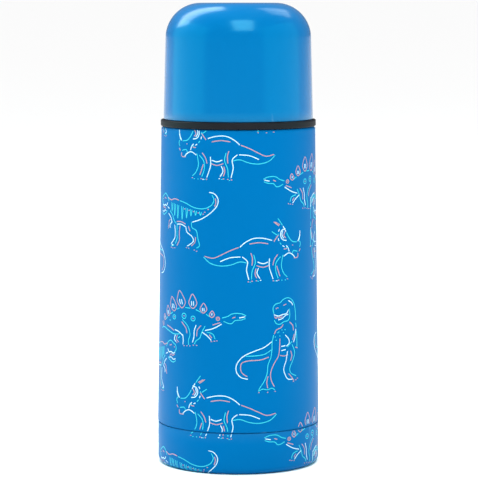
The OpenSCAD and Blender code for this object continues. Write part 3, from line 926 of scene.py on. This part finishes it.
@dataclass
class PrintedDinosaurs:
    """The dinosaurs printed round the body and the base cup, one piece for each ink."""

    line_radius: float = 0.185 * MM
    proud: float = 0.045 * MM
    step: float = 0.6 * MM
    print_radius: float = 34 * MM
    repeat: float = 109.5 * MM
    turns: int = 2
    # How far past a line's end each tapering point is, and its width, as shares of the line's.
    tips: tuple[Point, ...] = ((0.6, 0.8), (0.95, 0.3))
    bands: tuple[Point, ...] = ((0.4 * MM, 17.5 * MM), (18.6 * MM, 145.4 * MM))
    placings: tuple[Placing, ...] = (
        Placing(HornedDinosaur, -50, 124.6 * MM, flipped=True),
        Placing(HornedDinosaur, -27, 81.8 * MM),
        Placing(PlatedDinosaur, 16, 110.9 * MM, flipped=True),
        Placing(PlatedDinosaur, -73, 53.6 * MM),
        Placing(StripedHunter, -76, 94.4 * MM),
        Placing(StripedHunter, -114, 32 * MM, flipped=True),
        Placing(UprightHunter, -3, 34.8 * MM),
        Placing(UprightHunter, -121, 77 * MM, flipped=True),
    )

    def build(self, body: "SteelBody", finishes: Finishes) -> None:
        """Prints every drawing on the steel body.

        Args:
            body: The body that carries the print.
            finishes: The finishes to use.
        """
        for ink in Ink:
            runs = [run for place in self.placings for run in self._runs(place, ink)]
            piece = self._tubes(f"print_{ink.value}", runs, body)
            finishes.dress(piece, finishes.inks[ink])
            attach(piece, "flask")
            LOG.info("%s: %d lines", piece.name, len(runs))

    def _runs(self, place: Placing, ink: Ink) -> list[list[Point]]:
        """Gives the lines of one ink in one drawing, at every place where it repeats.

        Args:
            place: The drawing's place.
            ink: The ink.

        Returns:
            Lines whose points are a distance round the body and a height, in metres.
        """
        sketch = place.sketch()
        wide, tall = sketch.stretch
        left = math.radians(place.left) * self.print_radius
        around = math.tau * self.print_radius / self.turns
        runs: list[list[Point]] = []
        for stroke in sketch.strokes:
            if stroke.ink is not ink:
                continue
            flat = []
            for x, y in stroke.points:
                across = sketch.width - x * wide if place.flipped else x * wide
                flat.append((across * MM + left, y * tall * MM + place.foot))
            smooth = self._smooth(flat, stroke.closed)
            for turn in range(self.turns):
                for lift in (-self.repeat, 0.0, self.repeat):
                    runs += self._clip([(s + turn * around, z + lift) for s, z in smooth])
        return runs

    def _smooth(self, points: Sequence[Point], closed: bool) -> list[Point]:
        """Draws a smooth line through a few points, by the Catmull-Rom rule.

        Args:
            points: The points to pass through.
            closed: Whether the line returns to its start.

        Returns:
            Points about one step apart.
        """
        if closed:
            ring = [points[i % len(points)] for i in range(-1, len(points) + 2)]
        else:
            ring = [points[0], *points, points[-1]]
        out: list[Point] = []
        for p0, p1, p2, p3 in zip(ring, ring[1:], ring[2:], ring[3:]):
            pieces = max(1, math.ceil(math.dist(p1, p2) / self.step))
            for i in range(pieces):
                t = i / pieces
                out.append(tuple(
                    0.5 * (2 * b + (c - a) * t + (2 * a - 5 * b + 4 * c - d) * t**2
                           + (3 * b - a - 3 * c + d) * t**3)
                    for a, b, c, d in zip(p0, p1, p2, p3)
                ))
        out.append(ring[-2])
        return out

    def _clip(self, line: Sequence[Point]) -> list[list[Point]]:
        """Keeps the parts of a line that lie on the printed bands.

        Args:
            line: The line's points.

        Returns:
            The parts that are left.
        """
        parts = [
            list(part)
            for low, high in self.bands
            for printed, part in groupby(line, key=lambda point: low <= point[1] <= high)
            if printed
        ]
        return [part for part in parts if len(part) > 1]

    def _tubes(
        self, name: str, runs: Sequence[Sequence[Point]], body: "SteelBody"
    ) -> bpy.types.Object:
        """Lays flattened tubes with round ends on the body.

        Args:
            name: The piece's name.
            runs: The lines to lay.
            body: The body that carries them.

        Returns:
            The piece.
        """
        curve = Workshop.wire(name, self.line_radius, 2)
        for run in runs:
            ends = self._round_ends(run)
            spline = curve.splines.new("POLY")
            spline.points.add(len(ends) - 1)
            for point, (s, z, share) in zip(spline.points, ends):
                angle = s / self.print_radius
                radius = body.radius_at(z)
                point.co = (radius * math.sin(angle), -radius * math.cos(angle), z, 1)
                point.radius = share
        piece = Workshop.from_curve(curve)
        flatten = self.proud / self.line_radius
        for vertex in piece.data.vertices:
            wall = body.radius_at(vertex.co.z)
            here = math.hypot(vertex.co.x, vertex.co.y)
            share = (wall + (here - wall) * flatten) / here
            vertex.co.x *= share
            vertex.co.y *= share
        Workshop.face_out(piece)
        bpy.ops.object.shade_smooth()
        return piece

    def _round_ends(self, run: Sequence[Point]) -> list[tuple[float, float, float]]:
        """Adds tapering points to both ends of a line.

        Args:
            run: The line's points.

        Returns:
            Each point with its share of the full line width.
        """
        points = [(s, z, 1.0) for s, z in run]
        for end, inner in ((run[0], run[1]), (run[-1], run[-2])):
            way = Vector((end[0] - inner[0], end[1] - inner[1])).normalized() * self.line_radius
            tips = [
                (end[0] + way.x * out, end[1] + way.y * out, share) for out, share in self.tips
            ]
            points = points + tips if end is run[-1] else tips[::-1] + points
        return points


# ---- sub-assemblies


@dataclass
class SteelBody:
    """The painted outer shell and base cup, and the bare steel flask inside them."""

    seam_radius: float = 35 * MM
    seam_height: float = 18 * MM
    seam_gap: float = 0.2 * MM
    shoulder_radius: float = 33.1 * MM
    shoulder_height: float = 145.9 * MM
    shoulder_round: float = 1.4 * MM
    side_rings: int = 12
    skirt_radius: float = 34.2 * MM
    skirt_height: float = 5.4 * MM
    neck_radius: float = 25 * MM
    lip_height: float = 159.4 * MM
    base_radius: float = 34.85 * MM
    base_ring: float = 9 * MM
    foot_round: float = 3 * MM
    ring_radius: float = 25 * MM
    ring_slope: float = 2 * MM
    dish: float = 1.4 * MM
    dish_rings: tuple[float, ...] = (4 * MM, 12 * MM, 20 * MM)
    wall: float = 0.6 * MM
    edge_break: float = 0.3 * MM
    # A face is on the inside when its normal points this much towards the axis.
    inward: float = -0.2
    spray_edge: float = 0.05 * MM

    def radius_at(self, height: float) -> float:
        """Gives the painted surface's radius at a height, on the shell or the base cup.

        Args:
            height: Height above the table.

        Returns:
            The radius.
        """
        if height < self.seam_height - self.seam_gap:
            below = max(0.0, self.foot_round - max(height, 0.0))
            return self.base_radius - self.foot_round + math.sqrt(self.foot_round**2 - below**2)
        top = self.shoulder_height - self.shoulder_round
        share = (height - self.seam_height) / (top - self.seam_height)
        share = min(1.0, max(0.0, share))
        return self.seam_radius + (self.shoulder_radius - self.seam_radius) * share

    def build(self, frame: dict, finishes: Finishes) -> None:
        """Builds the painted shells and dresses the steel inside.

        Args:
            frame: The loaded frame.
            finishes: The finishes to use.
        """
        for piece, node in ((self._outer_shell(), "outer_shell"), (self._base_cup(), "base_cup")):
            finishes.dress(piece, finishes.body_paint)
            self._bare_neck(piece, finishes.steel)
            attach(piece, "flask")
            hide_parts(node)
            LOG.info("%s: %d faces", piece.name, len(piece.data.polygons))
        nodes = frame["nodes"]
        for name in ("inner_flask", "vacuum_base", "getter_holder"):
            finishes.dress(nodes[name], finishes.steel)
        finishes.dress(nodes["evacuation_seal"], finishes.solder_glass)
        finishes.dress(nodes["getter_pellet"], finishes.getter_metal)
        finishes.dress(nodes["foil_wrap"], finishes.copper_foil)

    def _bare_neck(self, piece: bpy.types.Object, steel: bpy.types.Material) -> None:
        """Leaves the steel bare inside, and where the collar's flange masks it from the spray.

        Args:
            piece: A painted shell.
            steel: The finish under the paint.
        """
        piece.data.materials.append(steel)
        for face in piece.data.polygons:
            inside = face.center.xy.dot(face.normal.xy) < self.inward * face.center.xy.length
            if face.center.z > self.shoulder_height - self.spray_edge or inside:
                face.material_index = 1

    def _outer_shell(self) -> bpy.types.Object:
        """Turns the outer shell, from its hidden skirt to the neck.

        Returns:
            The piece.
        """
        top = self.shoulder_height - self.shoulder_round
        profile: list[Point] = [
            (self.skirt_radius, self.skirt_height),
            (self.skirt_radius, self.seam_height),
            (self.seam_radius - self.edge_break, self.seam_height),
            (self.seam_radius, self.seam_height + self.edge_break),
        ]
        for i in range(1, self.side_rings):
            height = self.seam_height + (top - self.seam_height) * i / self.side_rings
            profile.append((self.radius_at(height), height))
        corner = (self.shoulder_radius - self.shoulder_round, top)
        profile += Workshop.arc(corner, self.shoulder_round, 0, 90, 10)
        profile += [
            (self.neck_radius, self.shoulder_height),
            (self.neck_radius, self.lip_height - self.wall),
        ]
        piece = Workshop.turn("painted_shell", profile)
        Workshop.thicken(piece, self.wall)
        Workshop.soften(piece, 0.08 * MM)
        return piece

    def _base_cup(self) -> bpy.types.Object:
        """Turns the base cup, from the middle of its dish up to the seam.

        Returns:
            The piece.
        """
        corner = (self.base_radius - self.foot_round, self.foot_round)
        profile: list[Point] = [
            (0, self.dish),
            *((radius, self.dish) for radius in self.dish_rings),
            (self.ring_radius - self.ring_slope, self.dish),
            (self.ring_radius, 0),
            *Workshop.arc(corner, self.foot_round, -90, 0, 16),
            (self.base_radius, self.base_ring),
            (self.base_radius, self.seam_height - self.edge_break),
        ]
        piece = Workshop.turn("painted_base", profile, poles=(True, False))
        Workshop.thicken(piece, self.wall)
        Workshop.soften(piece, 0.12 * MM)
        return piece


@dataclass
class DrinkingCup:
    """The domed steel cup with its liner and rim seal."""

    rim_radius: float = 32.1 * MM
    rim_height: float = 148.95 * MM
    top_height: float = 198.5 * MM
    draft: float = 0.9 * MM
    round: float = 15 * MM
    side_rings: int = 8
    top_rings: tuple[float, ...] = (12 * MM, 8 * MM, 4 * MM, 0)
    wall: float = 0.6 * MM

    def build(self, frame: dict, finishes: Finishes) -> None:
        """Builds the dome and dresses what is inside it.

        Args:
            frame: The loaded frame.
            finishes: The finishes to use.
        """
        corner = (self.rim_radius - self.draft - self.round, self.top_height - self.round)
        slope = math.degrees(math.atan2(self.draft, corner[1] - self.rim_height))
        dome = Workshop.arc(corner, self.round, slope, 90, 40)
        profile: list[Point] = []
        for i in range(self.side_rings):
            share = i / self.side_rings
            profile.append((
                self.rim_radius + (dome[0][0] - self.rim_radius) * share,
                self.rim_height + (dome[0][1] - self.rim_height) * share,
            ))
        profile += dome
        profile += [(radius, self.top_height) for radius in self.top_rings]
        piece = Workshop.turn("painted_cup", profile, poles=(False, True))
        Workshop.thicken(piece, self.wall)
        Workshop.soften(piece, 0.15 * MM, sharp=50)
        finishes.dress(piece, finishes.cup_paint)
        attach(piece, "cup")
        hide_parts("cup_shell")
        LOG.info("%s: %d faces", piece.name, len(piece.data.polygons))
        finishes.dress(frame["nodes"]["cup_liner"], finishes.white_plastic)
        finishes.dress(frame["nodes"]["cup_rim_seal"], finishes.dark_silicone)


@dataclass
class Stopper:
    """The pouring stopper (barrel, grip, button, spring and valve) and the collar round it."""

    spring_foot: float = 160 * MM
    spring_top: float = 169.3 * MM
    spring_radius: float = 6.6 * MM
    wire: float = 0.4 * MM
    turns: float = 5.0
    steps: int = 40
    # The share of the coil that lies nearly flat at each end, and how gently it lifts from there.
    closed: float = 0.15
    ease: float = 0.4
    press: float = 3.5 * MM

    def build(self, frame: dict, finishes: Finishes) -> None:
        """Dresses the stopper and winds its spring.

        Args:
            frame: The loaded frame.
            finishes: The finishes to use.
        """
        nodes = frame["nodes"]
        for material, names in (
            (finishes.black_plastic, ("stopper_barrel", "stopper_grip", "neck_collar")),
            (finishes.clear_silicone, ("stopper_gasket", "valve_seal")),
            (finishes.white_plastic, ("valve_stem", "valve_disc")),
            (finishes.dark_silicone, ("stem_o_ring",)),
            (finishes.blue_plastic, ("push_button",)),
            (finishes.steel, ("spring_seat",)),
        ):
            for name in names:
                finishes.dress(nodes[name], material)
                LOG.info("%s: dressed", name)
        spring = self._spring()
        finishes.dress(spring, finishes.steel)
        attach(spring, "stopper")
        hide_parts("button_spring")
        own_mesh(spring)
        LOG.info("%s: %d faces", spring.name, len(spring.data.polygons))

    def _spring(self) -> bpy.types.Object:
        """Winds a compression spring with closed ends.

        Returns:
            The piece.
        """
        low, high = self.spring_foot + self.wire, self.spring_top - self.wire
        coil = Workshop.wire("coil_spring", self.wire, 3)
        count = round(self.turns * self.steps)
        spline = coil.splines.new("POLY")
        spline.points.add(count)
        for i, point in enumerate(spline.points):
            angle = math.tau * i / self.steps
            rise = min(1.0, max(0.0, (i / count - self.closed) / (1 - 2 * self.closed)))
            rise = rise * rise * (3 - 2 * rise) * self.ease + rise * (1 - self.ease)
            point.co = (
                self.spring_radius * math.cos(angle),
                self.spring_radius * math.sin(angle),
                low + (high - low) * rise,
                1,
            )
        piece = Workshop.from_curve(coil)
        Workshop.face_out(piece)
        bpy.ops.object.shade_smooth_by_angle(angle=math.radians(50))
        return piece


# ---- studio


@dataclass
class Softbox:
    """One rectangular soft light."""

    name: str
    place: tuple[float, float, float]
    size: tuple[float, float]
    power: float
    aim: tuple[float, float, float] = (0.0, 0.0, 0.15)
    roll: float = 0.0
    tint: Colour = (1.0, 1.0, 1.0)

    def build(self) -> None:
        """Hangs the light, facing its aim."""
        light = bpy.data.lights.new(self.name, "AREA")
        light.shape = "RECTANGLE"
        light.size, light.size_y = self.size
        light.energy = self.power
        light.color = self.tint
        lamp = bpy.data.objects.new(self.name, light)
        lamp.location = self.place
        way = Vector(self.aim) - Vector(self.place)
        turn = Quaternion((0, 0, 1), math.radians(self.roll))
        lamp.rotation_euler = (way.to_track_quat("-Z", "Y") @ turn).to_euler()
        bpy.context.scene.collection.objects.link(lamp)


@dataclass
class Studio:
    """A pale floor, soft lights and the camera."""

    camera_place: tuple[float, float, float] = (0.0003, -1.040, 0.203)
    camera_pitch: float = 5.83
    lens: float = 182.0
    floor_size: float = 800.0
    floor_drop: float = 0.02 * MM
    floor_colour: Colour = (0.9, 0.9, 0.9)
    floor_roughness: float = 0.9
    # The sky's strength as a light; the camera sees it at 1.
    sky: float = 0.25
    overhead: float = 2.85
    overhead_angle: float = 50.0
    boxes: tuple[Softbox, ...] = (
        Softbox("high_left", (-0.67, 0.52, 1.02), (0.49, 1.14), 12.0, roll=38),
        Softbox("high_right", (0.52, 0.56, 1.05), (0.5, 0.5), 1.9),
        Softbox("high_front", (0.13, -0.84, 1.02), (0.62, 0.76), 11.5),
        Softbox("left_wall", (-1.10, -0.05, 0.35), (1.5, 1.2), 9.5, tint=COOL),
        Softbox("right_wall", (1.05, -0.30, 0.35), (1.5, 1.2), 7.0, tint=COOL),
    )

    def build(self) -> None:
        """Sets up the camera, the sky, the floor and the lights."""
        self._camera()
        self._sky()
        self._floor()
        self._overhead()
        for box in self.boxes:
            box.build()

    def _camera(self) -> None:
        """Places the camera and sets how its picture is developed."""
        scene = bpy.context.scene
        data = bpy.data.cameras.new("camera")
        data.lens = self.lens
        data.sensor_width = 36
        data.clip_start, data.clip_end = 0.05, 100
        camera = bpy.data.objects.new("camera", data)
        camera.location = self.camera_place
        camera.rotation_euler = (math.radians(90 - self.camera_pitch), 0, 0)
        scene.collection.objects.link(camera)
        scene.camera = camera
        scene.view_settings.view_transform = "Standard"
        scene.view_settings.look = "None"

    def _sky(self) -> None:
        """Makes a white sky that lights less than it shows."""
        world = bpy.data.worlds.new("pale_studio")
        world.use_nodes = True
        patch = Patch(world.node_tree)
        seen = patch.node("LightPath")["Is Camera Ray"]
        strength = patch.node("MapRange", {"Value": seen, "To Min": self.sky, "To Max": 1.0})[0]
        backdrop = world.node_tree.nodes["Background"]
        patch.feed(backdrop, {"Color": (1, 1, 1, 1), "Strength": strength})
        bpy.context.scene.world = world

    def _floor(self) -> None:
        """Lays the floor just under the flask."""
        Workshop.clear_selection()
        bpy.ops.mesh.primitive_plane_add(size=self.floor_size, location=(0, 0, -self.floor_drop))
        floor = bpy.context.active_object
        floor.name = "floor"
        paint = bpy.data.materials.new("pale_floor")
        paint.use_nodes = True
        shader = paint.node_tree.nodes["Principled BSDF"]
        shader.inputs["Base Color"].default_value = (*self.floor_colour, 1)
        shader.inputs["Roughness"].default_value = self.floor_roughness
        floor.data.materials.append(paint)

    def _overhead(self) -> None:
        """Hangs the broad light straight overhead, which reflections leave out."""
        sun = bpy.data.lights.new("overhead", "SUN")
        sun.energy = self.overhead
        sun.angle = math.radians(self.overhead_angle)
        lamp = bpy.data.objects.new("overhead", sun)
        lamp.visible_glossy = False
        bpy.context.scene.collection.objects.link(lamp)


def main() -> None:
    """Builds the flask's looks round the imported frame, in order."""
    logging.basicConfig(level=logging.INFO, format="%(name)s: %(message)s")
    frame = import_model()
    Studio().build()
    finishes = Finishes()
    body = SteelBody()
    body.build(frame, finishes)
    DrinkingCup().build(frame, finishes)
    Stopper().build(frame, finishes)
    PrintedDinosaurs().build(body, finishes)


if __name__ == "__main__":
    main()
